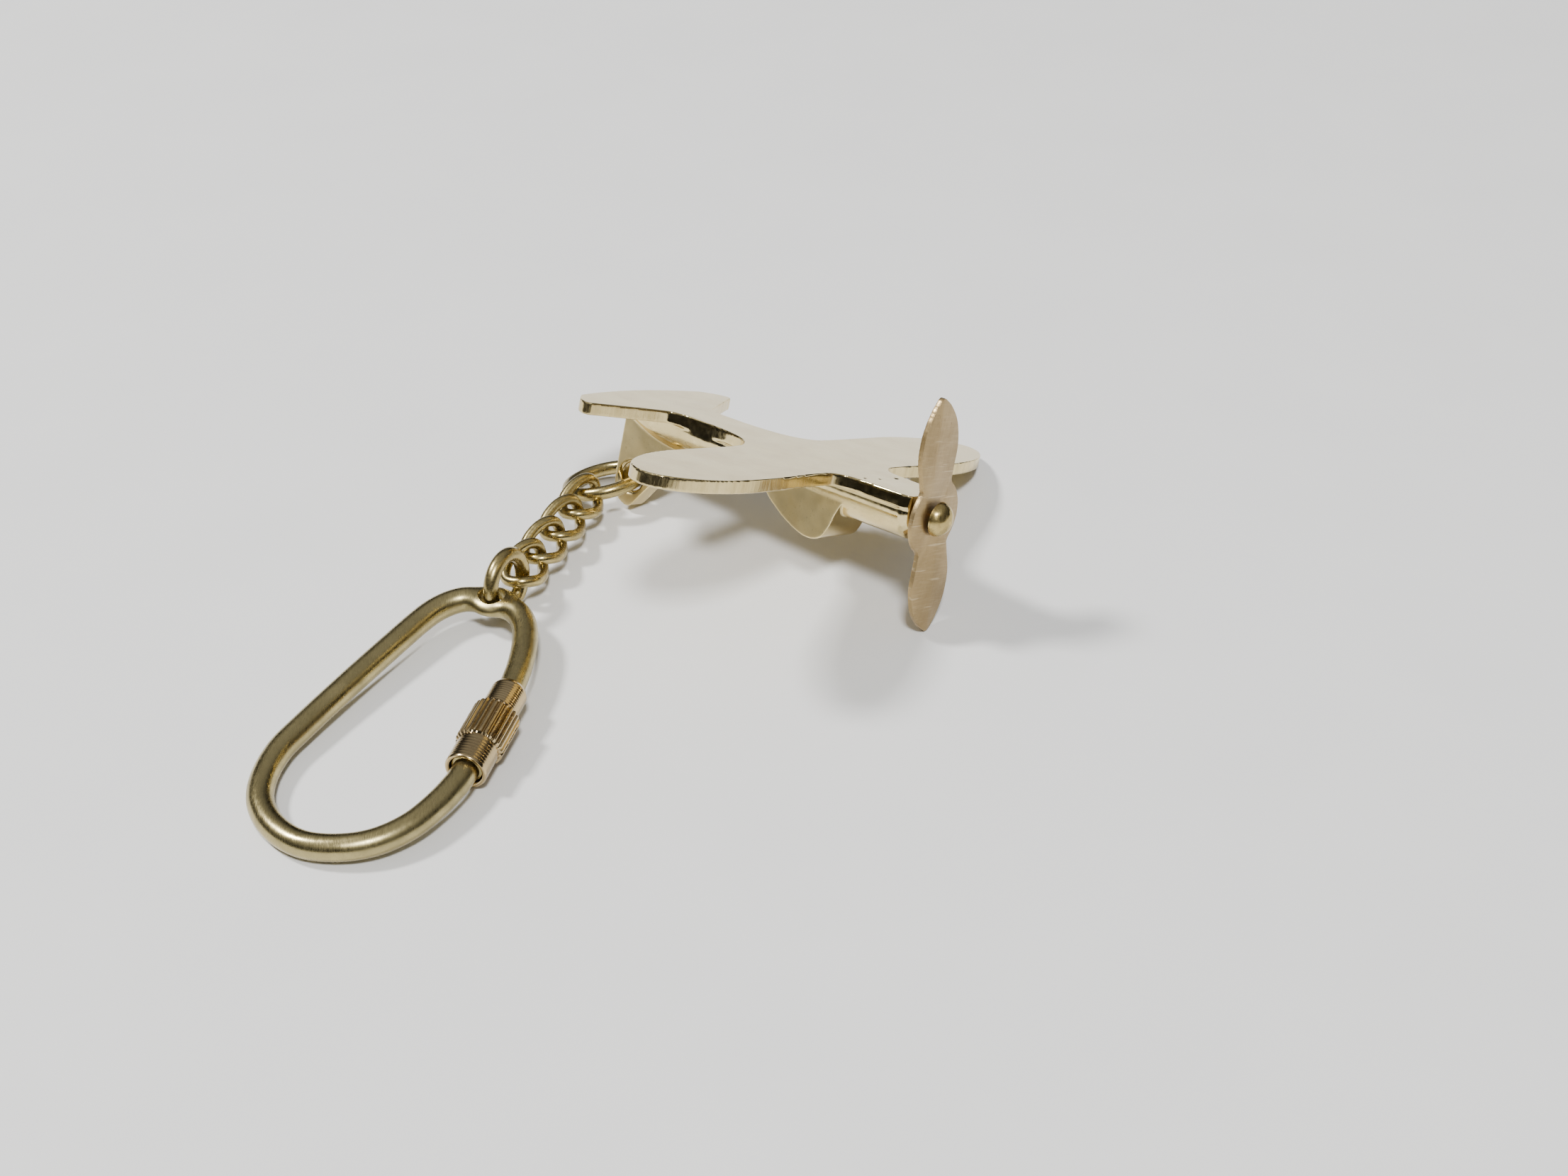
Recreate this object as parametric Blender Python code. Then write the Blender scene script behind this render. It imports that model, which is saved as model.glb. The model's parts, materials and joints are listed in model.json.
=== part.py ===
"""Brass aeroplane key chain, resting on a table.

A one-piece toy aeroplane lies on its back with its flat belly up. A two-blade
propeller turns on a rivet in its nose, a jump ring runs through its tail fin, and
four twisted curb links and a shackle join that ring to a screw-lock key ring.

World frame: metres, +Z up from the table, +X along the longest side.
Aeroplane frame, used for the airframe, propeller and rivet: +X to the nose, +Y to the
port wing, +Z to the canopy, with the flat belly in the plane Z = 0.
All sizes below are in millimetres.
"""
import math

import bmesh
import bpy
from mathutils import Matrix, Vector

MM = 0.001
# Puts the middle of the whole object's base at the world's origin
BASE_SHIFT = Vector((26.91, 0.425, 0.04))

# Aeroplane: plan of the flat belly
SPAN = 56.0
PLATE = 1.3
WING_X = 12.2
WING_HALF_CHORD = 5.0
WING_TIP_LENGTH = 11.0
TAIL_X = -12.65
TAIL_SWEEP = 1.65
TAIL_HALF_SPAN = 11.8
NOSE_X = 25.2
NOSE_CHAMFER = 0.9
BODY_HALF_WIDTH = 2.9
NOSE_HALF_WIDTH = 3.3

# Barrel, canopy and fin under the belly plate
BARREL_TOP = 0.5
BARREL_STRAIGHT = 1.5
BARREL_DEPTH = 4.7
CANOPY_HALF_WIDTH = 3.0
FIN_HALF_THICKNESS = 1.05
FIN_LEADING_X = -3.2
FIN_FOOT = (-10.1, 11.85)
FIN_HOLE = (-10.08, 8.68)
FIN_HOLE_RADIUS = 1.5
FIN_HOLE_FLARE = 0.9
FIN_HOLE_FLARE_DEPTH = 0.3

# Propeller and rivet on the thrust line
THRUST_Z = 1.9
PROP_X = 25.9
PROP_THICKNESS = 0.5
PROP_HALF_LENGTH = 12.3
PROP_HUB_RADIUS = 3.85
PROP_TURN = math.radians(15.5)
PROP_BORE = 0.95
SHAFT_RADIUS = 0.75
SHAFT_BORE = 0.87
SHAFT_DEPTH = 4.4
COLLAR_RADIUS = 1.2
COLLAR_GAP = 0.1
COLLAR_LENGTH = 0.2
HEAD_RADIUS = 1.75
HEAD_HEIGHT = 1.5

# Resting pose: table contacts of the aeroplane, and the compass heading of its nose
WING_CONTACT = (12.4, -27.95, PLATE)
HEADING = math.radians(-38.0)

# Jump ring, curb links and shackle
JUMP_CENTRE = Vector((-32.60, 22.25, 2.35))
JUMP_AXIS = Vector((0.201, -0.257, -0.945))
JUMP_RADIUS = 3.92
JUMP_WIRE = 0.725
LINK_COUNT = 4
LINK_FIRST = Vector((-34.55, 17.75, 2.98))
LINK_LAST = Vector((-39.26, 6.23, 2.96))
LINK_HALF_LENGTH = 2.8
LINK_HALF_WIDTH = 1.8
LINK_WIRE = 0.575
LINK_SQUARENESS = 0.8
LINK_TWIST = math.radians(85.0)
LINK_ROLL = math.radians(-33.8)
SHACKLE_CENTRE = Vector((-40.91, 2.76, 3.59))
SHACKLE_AXIS = Vector((-0.896, 0.437, -0.075))
SHACKLE_RADIUS = 2.82
SHACKLE_WIRE = 0.75

# Key ring: a wire loop in one gently sloping plane, and its lock sleeve
RING_WIRE = 1.25
RING_SLOPE = (0.0499, 0.0292)
RING_LOW_POINT = (-58.7, -28.8, 1.27)
SLEEVE_TOP = (-38.9, -12.7)
SLEEVE_MOUTH = (-41.97, -23.5)
EYE = (-42.03, 0.4)
EYE_RADIUS = 2.05
EYE_THICKNESS = 1.9
EYE_CHAMFER = 0.25
EYE_HOLE = 1.25
FLANGE_RADIUS = 1.45
FLANGE_REACH = (2.6, 2.0)
THREAD_RADIUS = 1.47
THREAD_REACH = (-0.4, -4.2)
SLEEVE_RADIUS_TOP = 1.75
SLEEVE_RADIUS_KNURL = 2.3
SLEEVE_RADIUS_MOUTH = 2.0
SLEEVE_BORE_TOP = 1.37
SLEEVE_BORE = 1.6
SLEEVE_SHOULDER = 1.75
SLEEVE_CHAMFER = 0.3
KNURL_START = 3.5
KNURL_END = 8.15
KNURL_TEETH = 26
KNURL_DEPTH = 0.22


# ---------------------------------------------------------------- basic tools

def clear_scene():
    for obj in list(bpy.data.objects):
        bpy.data.objects.remove(obj, do_unlink=True)


def brass(name, colour, roughness):
    material = bpy.data.materials.new(name)
    material.use_nodes = True
    shader = material.node_tree.nodes["Principled BSDF"]
    shader.inputs["Base Color"].default_value = (*colour, 1.0)
    shader.inputs["Metallic"].default_value = 1.0
    shader.inputs["Roughness"].default_value = roughness
    return material


def finish_mesh(name, bm, material=None, origin=Vector(), sharp_angle=35.0):
    """Turn a bmesh in millimetres into a scene object with its origin at `origin` (mm)."""
    bmesh.ops.recalc_face_normals(bm, faces=bm.faces)
    bmesh.ops.translate(bm, vec=-origin, verts=bm.verts)
    bmesh.ops.scale(bm, vec=(MM, MM, MM), verts=bm.verts)
    mesh = bpy.data.meshes.new(name)
    bm.to_mesh(mesh)
    bm.free()
    mesh.shade_smooth()
    mesh.set_sharp_from_angle(angle=math.radians(sharp_angle))
    obj = bpy.data.objects.new(name, mesh)
    bpy.context.scene.collection.objects.link(obj)
    obj.location = (origin + BASE_SHIFT) * MM
    if material:
        mesh.materials.append(material)
    return obj


def combine(obj, tool, operation):
    """Join or cut `obj` with the helper solid `tool`, which stays hidden in the scene."""
    modifier = obj.modifiers.new(tool.name, "BOOLEAN")
    modifier.operation = operation
    modifier.solver = "EXACT"
    modifier.object = tool
    tool.hide_render = True
    tool.display_type = "WIRE"


def prism(outline, axis, low, high):
    """Closed solid: a flat outline extruded along one axis of its frame."""
    def point(a, b, c):
        return {"X": (c, a, b), "Y": (a, c, b), "Z": (a, b, c)}[axis]

    bm = bmesh.new()
    face = bm.faces.new([bm.verts.new(point(a, b, low)) for a, b in outline])
    extruded = bmesh.ops.extrude_face_region(bm, geom=[face])["geom"]
    moved = [item for item in extruded if isinstance(item, bmesh.types.BMVert)]
    bmesh.ops.translate(bm, vec=Vector(point(0, 0, high - low)), verts=moved)
    return bm


def bridge_sections(sections, closed=False):
    """Closed solid through matching rings of points, capped unless it closes on itself."""
    bm = bmesh.new()
    rings = [[bm.verts.new(co) for co in section] for section in sections]
    pairs = list(zip(rings, rings[1:] + rings[:1])) if closed else list(zip(rings, rings[1:]))
    for first, second in pairs:
        count = len(first)
        for i in range(count):
            j = (i + 1) % count
            bm.faces.new((first[i], first[j], second[j], second[i]))
    if not closed:
        bm.faces.new(rings[0])
        bm.faces.new(rings[-1])
    return bm


def wire(points, radii, facing, sides, closed):
    """Round wire along `points`. `facing` gives a direction at each point that is never
    along the wire, so that the wire's rings line up without twisting."""
    sections = []
    count = len(points)
    for i, centre in enumerate(points):
        before = points[i - 1] if closed or i > 0 else centre
        after = points[(i + 1) % count] if closed or i < count - 1 else centre
        along = (after - before).normalized()
        across = facing[i].cross(along).normalized()
        out = along.cross(across)
        turns = (math.tau * k / sides for k in range(sides))
        section = [centre + radii[i] * (math.cos(t) * across + math.sin(t) * out) for t in turns]
        sections.append(section)
    return bridge_sections(sections, closed)


def lathe(profile, steps):
    """Solid of revolution about +X from (x, radius) pairs; a radius of 0 is a pole."""
    bm = bmesh.new()
    rings = []
    for x, radius in profile:
        if radius == 0.0:
            rings.append([bm.verts.new((x, 0, 0))])
            continue
        turns = (math.tau * k / steps for k in range(steps))
        rings.append([bm.verts.new((x, radius * math.cos(t), radius * math.sin(t))) for t in turns])
    for first, second in zip(rings, rings[1:]):
        for i in range(steps):
            j = (i + 1) % steps
            corners = [first[i % len(first)], first[j % len(first)],
                       second[j % len(second)], second[i % len(second)]]
            unique = list(dict.fromkeys(corners))
            bm.faces.new(unique)
    for ring in (rings[0], rings[-1]):
        if len(ring) > 1:
            bm.faces.new(ring)
    return bm


def spline(points, steps):
    """Catmull-Rom curve through open 2-D points, with `steps` pieces per span."""
    ends = [points[0]] + list(points) + [points[-1]]
    curve = []
    for p0, p1, p2, p3 in zip(ends, ends[1:], ends[2:], ends[3:]):
        for k in range(steps):
            t = k / steps
            curve.append(tuple(
                0.5 * (2 * b + (c - a) * t + (2 * a - 5 * b + 4 * c - d) * t ** 2
                       + (3 * b - a - 3 * c + d) * t ** 3)
                for a, b, c, d in zip(p0, p1, p2, p3)))
    curve.append(tuple(points[-1]))
    return curve


# ---------------------------------------------------------------- resting pose

def aeroplane_frame():
    """Matrix from the aeroplane's frame to the world, both in millimetres. The plane
    rests on a propeller tip, the starboard wing tip and the fin's foot."""
    prop_contact = Vector((PROP_X, -PROP_HALF_LENGTH * math.sin(PROP_TURN),
                           THRUST_Z + PROP_HALF_LENGTH * math.cos(PROP_TURN)))
    wing_contact = Vector(WING_CONTACT)
    fin_contact = Vector((FIN_FOOT[0], -FIN_HALF_THICKNESS, FIN_FOOT[1]))
    up = (wing_contact - prop_contact).cross(fin_contact - prop_contact).normalized()
    nose = (Vector((1, 0, 0)) - up * up.x).normalized()
    left = up.cross(nose)
    world_x = math.cos(HEADING) * nose - math.sin(HEADING) * left
    world_y = up.cross(world_x)
    turn = Matrix((world_x, world_y, up))
    return Matrix.Translation(-(turn @ prop_contact)) @ turn.to_4x4()


AEROPLANE = aeroplane_frame()


def to_world(bm):
    """Move a bmesh from the aeroplane's frame to the world frame."""
    bmesh.ops.transform(bm, matrix=AEROPLANE, verts=bm.verts)
    return bm


# ---------------------------------------------------------------- airframe

def half_plan():
    """Port half of the belly's outline, from the tail's centre line to the nose."""
    tail = [(TAIL_X + TAIL_SWEEP * (y / TAIL_HALF_SPAN) ** 2, y) for y in (0.0, 3.3, 6.6, 9.7)]
    tail_tip = [(-10.2, 11.3), (-9.2, TAIL_HALF_SPAN), (-8.5, 11.5)]
    tail_front = [(-5.0, 4.2), (-4.2, 3.2), (-3.0, BODY_HALF_WIDTH)]
    waist = [(0.0, BODY_HALF_WIDTH), (2.6, 3.2), (4.6, 3.8), (6.1, 4.9), (7.0, 6.6)]
    wing_tip_y = SPAN / 2 - WING_TIP_LENGTH
    wing = []
    for k in range(15):
        angle = math.pi * k / 14
        wing.append((WING_X - WING_HALF_CHORD * math.cos(angle),
                     wing_tip_y + WING_TIP_LENGTH * math.sin(angle)))
    shoulder = [(16.9, 9.0), (16.9, 5.6), (17.5, 4.3), (18.6, 3.65), (20.0, 3.45)]
    nose = [(NOSE_X - NOSE_CHAMFER, NOSE_HALF_WIDTH), (NOSE_X, NOSE_HALF_WIDTH - NOSE_CHAMFER / 2)]
    return tail + tail_tip + tail_front + waist + wing + shoulder + nose


def belly_plate():
    port = half_plan()
    starboard = [(x, -y) for x, y in reversed(port) if y > 0.0]
    return prism(port + starboard, "Z", 0.0, PLATE)


def barrel_section(x, half_width, depth):
    """D-shaped section: flat inside the belly plate, straight sides, round bottom."""
    arc = []
    for k in range(13):
        angle = math.pi * k / 12
        drop = (depth - BARREL_STRAIGHT) * math.sin(angle) ** 0.9
        arc.append(Vector((x, half_width * math.cos(angle), BARREL_STRAIGHT + drop)))
    top = [Vector((x, -half_width, BARREL_TOP)), Vector((x, half_width, BARREL_TOP))]
    return top + arc


def barrel():
    """Fuselage under the plate, from (x, half width, depth) stations, tail to nose."""
    inside = 0.05
    side = NOSE_HALF_WIDTH - inside
    stations = [
        (TAIL_X + 0.35, 1.3, 2.6), (-9.0, 1.9, 3.8), (-6.0, 2.45, 4.3),
        (-2.0, BODY_HALF_WIDTH, 4.55), (5.0, 3.0, BARREL_DEPTH), (17.0, side, BARREL_DEPTH),
        (NOSE_X - NOSE_CHAMFER, side, BARREL_DEPTH),
        (NOSE_X - inside, side - NOSE_CHAMFER / 2, BARREL_DEPTH - NOSE_CHAMFER)]
    return bridge_sections([barrel_section(*station) for station in stations])


def canopy():
    """Flat-sided disc-like lobe, rounded below and steep towards the nose."""
    profile = spline([(5.8, 1.0), (8.4, 4.4), (10.2, 5.8), (11.9, 6.75), (13.6, 7.35), (15.0, 7.4),
                      (16.1, 6.8), (16.7, 5.6), (17.0, 4.5), (17.6, 3.0)], 2)
    return prism(profile, "Y", -CANOPY_HALF_WIDTH, CANOPY_HALF_WIDTH)


def fin():
    """Tail fin with a rounded foot and a sweeping front edge."""
    root_z = 0.6
    outline = [(TAIL_X + 0.3, root_z), (-12.2, 9.2), (-11.9, 10.5), (-11.2, 11.4), FIN_FOOT,
               (-9.5, 11.7), (-9.0, 11.1), (-7.1, 8.5), (-5.0, 5.2), (FIN_LEADING_X, 3.4),
               (FIN_LEADING_X, root_z)]
    return prism(outline, "Y", -FIN_HALF_THICKNESS, FIN_HALF_THICKNESS)


def cylinder_along_y(x, z, profile, steps):
    """Turned tool about an axis along the aeroplane's Y, from (y, radius) pairs."""
    bm = lathe(profile, steps)
    bmesh.ops.rotate(bm, matrix=Matrix.Rotation(math.radians(90), 3, "Z"), verts=bm.verts)
    bmesh.ops.translate(bm, vec=Vector((x, 0, z)), verts=bm.verts)
    return bm


def build_airframe():
    root = AEROPLANE.translation.copy()
    body = finish_mesh("airframe", to_world(belly_plate()),
                       brass("airframe_brass", (0.72, 0.62, 0.40), 0.16), root)
    for name, shape in (("barrel", barrel()), ("canopy", canopy()), ("fin", fin())):
        combine(body, finish_mesh(name + "_tool", to_world(shape)), "UNION")
    outer = FIN_HALF_THICKNESS + 0.5
    inner = FIN_HALF_THICKNESS - FIN_HOLE_FLARE_DEPTH
    flare = FIN_HOLE_RADIUS + FIN_HOLE_FLARE
    hole = cylinder_along_y(*FIN_HOLE, [(-outer, flare), (-inner, FIN_HOLE_RADIUS),
                                        (inner, FIN_HOLE_RADIUS), (outer, flare)], 24)
    combine(body, finish_mesh("fin_hole_tool", to_world(hole)), "DIFFERENCE")
    bore = lathe([(NOSE_X - SHAFT_DEPTH - 0.1, SHAFT_BORE), (NOSE_X + 2.0, SHAFT_BORE)], 20)
    bmesh.ops.translate(bore, vec=Vector((0, 0, THRUST_Z)), verts=bore.verts)
    combine(body, finish_mesh("nose_bore_tool", to_world(bore)), "DIFFERENCE")


# ---------------------------------------------------------------- propeller

def blade_edge():
    """A quarter of the propeller's outline, as (along the blade, across it) pairs."""
    hub = []
    for k in range(5):
        angle = math.radians(12 * k)
        hub.append((PROP_HUB_RADIUS * math.sin(angle), PROP_HUB_RADIUS * math.cos(angle)))
    blade = spline([(3.3, 2.35), (4.6, 2.6), (6.8, 3.0), (9.2, 2.6), (11.0, 1.55),
                    (PROP_HALF_LENGTH - 0.25, 0.55)], 2)
    return hub + blade + [(PROP_HALF_LENGTH, 0.15)]


def build_propeller():
    edge = blade_edge()
    outline = edge + [(a, -c) for a, c in reversed(edge)]
    outline += [(-a, -c) for a, c in edge[1:]] + [(-a, c) for a, c in reversed(edge[1:])]
    bm = prism([(c, a) for a, c in outline], "X", 0.0, PROP_THICKNESS)
    bmesh.ops.rotate(bm, matrix=Matrix.Rotation(PROP_TURN, 3, "X"), verts=bm.verts)
    bmesh.ops.translate(bm, vec=Vector((PROP_X, 0, THRUST_Z)), verts=bm.verts)
    hub = AEROPLANE @ Vector((PROP_X + PROP_THICKNESS / 2, 0, THRUST_Z))
    blades = finish_mesh("propeller", to_world(bm),
                         brass("propeller_brass", (0.60, 0.47, 0.32), 0.45), hub)
    bore = lathe([(PROP_X - 2.0, PROP_BORE), (PROP_X + 3.0, PROP_BORE)], 20)
    bmesh.ops.translate(bore, vec=Vector((0, 0, THRUST_Z)), verts=bore.verts)
    combine(blades, finish_mesh("propeller_bore_tool", to_world(bore)), "DIFFERENCE")


def build_rivet():
    collar = PROP_X + PROP_THICKNESS + COLLAR_GAP
    head = collar + COLLAR_LENGTH
    profile = [(NOSE_X - SHAFT_DEPTH, SHAFT_RADIUS), (collar, SHAFT_RADIUS),
               (collar, COLLAR_RADIUS), (head, COLLAR_RADIUS), (head, HEAD_RADIUS)]
    for k in range(1, 6):
        angle = math.radians(90 * k / 6)
        profile.append((head + HEAD_HEIGHT * math.sin(angle), HEAD_RADIUS * math.cos(angle)))
    profile.append((head + HEAD_HEIGHT, 0.0))
    bm = lathe(profile, 20)
    bmesh.ops.translate(bm, vec=Vector((0, 0, THRUST_Z)), verts=bm.verts)
    origin = AEROPLANE @ Vector((PROP_X, 0, THRUST_Z))
    finish_mesh("propeller_rivet", to_world(bm),
                brass("rivet_brass", (0.74, 0.58, 0.24), 0.22), origin)


# ---------------------------------------------------------------- rings and chain

def ring_points(centre, axis, radius, count):
    axis = axis.normalized()
    first = axis.orthogonal().normalized()
    second = axis.cross(first)
    turns = [math.tau * k / count for k in range(count)]
    return [centre + radius * (math.cos(t) * first + math.sin(t) * second) for t in turns]


def build_round_ring(name, centre, axis, radius, wire_radius, origin, colour):
    count = 44
    points = ring_points(centre, axis, radius, count)
    bm = wire(points, [wire_radius] * count, [axis.normalized()] * count, 12, True)
    finish_mesh(name, bm, brass(name + "_brass", colour, 0.3), origin)


def fin_hole_centre():
    return AEROPLANE @ Vector((FIN_HOLE[0], 0, FIN_HOLE[1]))


def chain_frame():
    """Along, across and facing directions shared by the curb links."""
    along = (LINK_LAST - LINK_FIRST).normalized()
    side = Vector((0, 0, 1)).cross(along).normalized()
    across = Matrix.Rotation(LINK_ROLL, 3, along) @ side
    return along, across, along.cross(across)


def link_centre(index):
    return LINK_FIRST.lerp(LINK_LAST, index / (LINK_COUNT - 1))


def link_joint(index):
    """Where a link hangs in the ring or link before it."""
    reach = LINK_HALF_LENGTH - LINK_WIRE
    return link_centre(index) - chain_frame()[0] * reach


def build_link(index):
    """Oval wire loop, twisted end to end so that the chain lies flat."""
    along, across, facing = chain_frame()
    centre = link_centre(index)
    count = 40
    points = []
    for k in range(count):
        c, s = math.cos(math.tau * k / count), math.sin(math.tau * k / count)
        x = LINK_HALF_LENGTH * math.copysign(abs(c) ** LINK_SQUARENESS, c)
        y = LINK_HALF_WIDTH * math.copysign(abs(s) ** LINK_SQUARENESS, s)
        turn = LINK_TWIST / 2 * x / LINK_HALF_LENGTH
        points.append(centre + x * along + y * math.cos(turn) * across + y * math.sin(turn) * facing)
    directions = []
    for k, point in enumerate(points):
        tangent = (points[(k + 1) % count] - points[k - 1]).normalized()
        directions.append(tangent.cross(centre - point).normalized())
    bm = wire(points, [LINK_WIRE] * count, directions, 10, True)
    name = f"chain_link_{index + 1}"
    finish_mesh(name, bm, brass(name + "_brass", (0.70, 0.58, 0.30), 0.3), link_joint(index))


# ---------------------------------------------------------------- key ring and sleeve

def ring_height(x, y):
    low_x, low_y, low_z = RING_LOW_POINT
    return low_z + RING_SLOPE[0] * (x - low_x) + RING_SLOPE[1] * (y - low_y)


def on_ring(point):
    return Vector((point[0], point[1], ring_height(*point)))


def ring_up():
    return Vector((-RING_SLOPE[0], -RING_SLOPE[1], 1.0)).normalized()


def sleeve_frame():
    """Start point, direction towards the mouth, and length of the lock sleeve."""
    top = on_ring(SLEEVE_TOP)
    mouth = on_ring(SLEEVE_MOUTH)
    return top, (mouth - top).normalized(), (mouth - top).length


def ring_path():
    """Centre line of the loop, from the leg above the sleeve round to the leg below it."""
    loop = [(-38.5, -10.0), (-38.3, -7.2), (-38.4, -4.5), (-39.0, -2.3), (-40.3, -0.6),
            EYE, (-43.9, 0.9), (-45.5, 0.8), (-47.2, -0.2), (-48.7, -1.9), (-51.0, -5.5),
            (-53.4, -9.4), (-55.7, -13.25), (-57.8, -16.9), (-59.35, -19.9), (-60.1, -23.4),
            (-59.75, -26.7), (-58.0, -29.7), (-55.3, -31.8), (-52.05, -32.45), (-48.85, -31.95),
            (-46.0, -30.15), (-43.9, -27.5), (-42.5, -25.0)]
    return [on_ring(point) for point in spline(loop, 3)]


def build_key_ring():
    top, along, length = sleeve_frame()
    flange_end, flange_start = FLANGE_REACH
    thread_start, thread_end = THREAD_REACH
    upper_leg = [(flange_end, FLANGE_RADIUS), (flange_start, FLANGE_RADIUS),
                 (flange_start - 0.05, RING_WIRE), (0.0, RING_WIRE)]
    lower_leg = [(0.15, RING_WIRE), (thread_start + 0.05, RING_WIRE),
                 (thread_start, THREAD_RADIUS), (thread_end, THREAD_RADIUS)]
    loop = ring_path()
    points = [top + along * reach for reach, _ in upper_leg]
    radii = [radius for _, radius in upper_leg]
    points += loop
    radii += [RING_WIRE] * len(loop)
    points += [top + along * (length + reach) for reach, _ in lower_leg]
    radii += [radius for _, radius in lower_leg]
    up = ring_up()
    bm = wire(points, radii, [up] * len(points), 14, False)
    eye = on_ring(EYE)
    ring = finish_mesh("key_ring", bm, brass("key_ring_brass", (0.66, 0.55, 0.27), 0.3), eye)
    tilt = Vector((1, 0, 0)).rotation_difference(up).to_matrix()
    half = EYE_THICKNESS / 2
    rim = EYE_RADIUS - EYE_CHAMFER
    boss = lathe([(-half, rim), (-half + EYE_CHAMFER, EYE_RADIUS),
                  (half + 0.1, EYE_RADIUS), (half + 0.1 + EYE_CHAMFER, rim)], 24)
    wide = EYE_RADIUS + 0.5
    clear = 2.0
    facet = lathe([(half, wide), (half + clear, wide)], 28)
    base = lathe([(-half - clear, wide), (-half - 0.05, wide)], 28)
    hole = lathe([(-half - clear, EYE_HOLE), (half + clear, EYE_HOLE)], 24)
    shapes = (("eye_boss", boss, "UNION"), ("eye_facet", facet, "DIFFERENCE"),
              ("eye_base", base, "DIFFERENCE"), ("eye_hole", hole, "DIFFERENCE"))
    for name, tool, operation in shapes:
        bmesh.ops.rotate(tool, matrix=tilt, verts=tool.verts)
        bmesh.ops.translate(tool, vec=eye, verts=tool.verts)
        combine(ring, finish_mesh(name + "_tool", tool), operation)


def toothed_circle(x, radius):
    """Ring of points with square-topped teeth, for the knurled band."""
    points = []
    for tooth in range(KNURL_TEETH):
        for part, drop in ((0.0, 0.0), (0.5, 0.0), (0.62, KNURL_DEPTH), (0.88, KNURL_DEPTH)):
            angle = math.tau * (tooth + part) / KNURL_TEETH
            reach = radius - drop
            points.append(Vector((x, reach * math.cos(angle), reach * math.sin(angle))))
    return points


def plain_circle(x, radius):
    """Plain ring of points at the same angles as the knurl's teeth."""
    teeth = toothed_circle(0.0, SLEEVE_RADIUS_KNURL)
    return [Vector((x, 0, 0)) + point.normalized() * radius for point in teeth]


def build_lock_sleeve():
    top, along, length = sleeve_frame()
    step = 0.15
    lip = SLEEVE_RADIUS_MOUTH - 0.1
    outside = [plain_circle(0.0, SLEEVE_RADIUS_TOP - SLEEVE_CHAMFER),
               plain_circle(2 * SLEEVE_CHAMFER, SLEEVE_RADIUS_TOP),
               plain_circle(KNURL_START, SLEEVE_RADIUS_TOP),
               toothed_circle(KNURL_START + step, SLEEVE_RADIUS_KNURL),
               toothed_circle(KNURL_END, SLEEVE_RADIUS_KNURL),
               plain_circle(KNURL_END + step, lip),
               plain_circle(length - step, SLEEVE_RADIUS_MOUTH),
               plain_circle(length, lip)]
    inside = [plain_circle(length, SLEEVE_BORE), plain_circle(SLEEVE_SHOULDER, SLEEVE_BORE),
              plain_circle(SLEEVE_SHOULDER, SLEEVE_BORE_TOP), plain_circle(0.0, SLEEVE_BORE_TOP)]
    bm = bridge_sections(outside + inside, closed=True)
    turn = Vector((1, 0, 0)).rotation_difference(along).to_matrix()
    bmesh.ops.rotate(bm, matrix=turn, verts=bm.verts)
    bmesh.ops.translate(bm, vec=top, verts=bm.verts)
    finish_mesh("lock_sleeve", bm, brass("lock_sleeve_brass", (0.66, 0.50, 0.32), 0.2), top)


# ---------------------------------------------------------------- assembly

def shackle_joint():
    """Where the shackle's wire runs through the last link."""
    tail = link_centre(LINK_COUNT - 1) + chain_frame()[0] * (LINK_HALF_LENGTH - LINK_WIRE)
    points = ring_points(SHACKLE_CENTRE, SHACKLE_AXIS, SHACKLE_RADIUS, 180)
    return min(points, key=lambda point: (point - tail).length)


clear_scene()
build_airframe()
build_propeller()
build_rivet()
build_round_ring("jump_ring", JUMP_CENTRE, JUMP_AXIS, JUMP_RADIUS, JUMP_WIRE, fin_hole_centre(),
                 (0.68, 0.55, 0.27))
for link_index in range(LINK_COUNT):
    build_link(link_index)
build_round_ring("shackle_ring", SHACKLE_CENTRE, SHACKLE_AXIS, SHACKLE_RADIUS, SHACKLE_WIRE,
                 shackle_joint(), (0.68, 0.56, 0.28))
build_key_ring()
build_lock_sleeve()
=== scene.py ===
"""Looks of the brass aeroplane key chain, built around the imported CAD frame.

Lengths are millimetres unless a comment says otherwise; mesh_object() turns them into
metres. The aeroplane's own frame has +X to the nose, +Y to the port wing and +Z to the
canopy, with the flat belly at Z = 0.
"""
import json
import math

import bmesh
import bpy
import numpy as np
from mathutils import Matrix, Vector, noise


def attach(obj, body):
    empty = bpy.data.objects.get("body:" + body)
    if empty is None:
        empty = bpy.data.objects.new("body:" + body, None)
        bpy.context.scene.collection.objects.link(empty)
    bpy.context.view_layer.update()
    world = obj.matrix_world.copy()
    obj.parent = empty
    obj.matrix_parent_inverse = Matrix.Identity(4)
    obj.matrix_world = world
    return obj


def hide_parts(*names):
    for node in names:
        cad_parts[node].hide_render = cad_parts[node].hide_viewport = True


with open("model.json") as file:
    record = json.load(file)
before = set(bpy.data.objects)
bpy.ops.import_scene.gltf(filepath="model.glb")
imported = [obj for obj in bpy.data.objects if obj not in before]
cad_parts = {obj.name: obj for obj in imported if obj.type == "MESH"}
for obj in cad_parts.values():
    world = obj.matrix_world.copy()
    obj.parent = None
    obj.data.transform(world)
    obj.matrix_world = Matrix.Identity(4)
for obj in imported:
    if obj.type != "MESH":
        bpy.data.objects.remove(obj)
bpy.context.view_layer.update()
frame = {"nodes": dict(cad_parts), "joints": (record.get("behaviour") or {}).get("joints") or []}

MM = 0.001
JOINTS = {joint["name"]: joint for joint in frame["joints"]}

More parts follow.
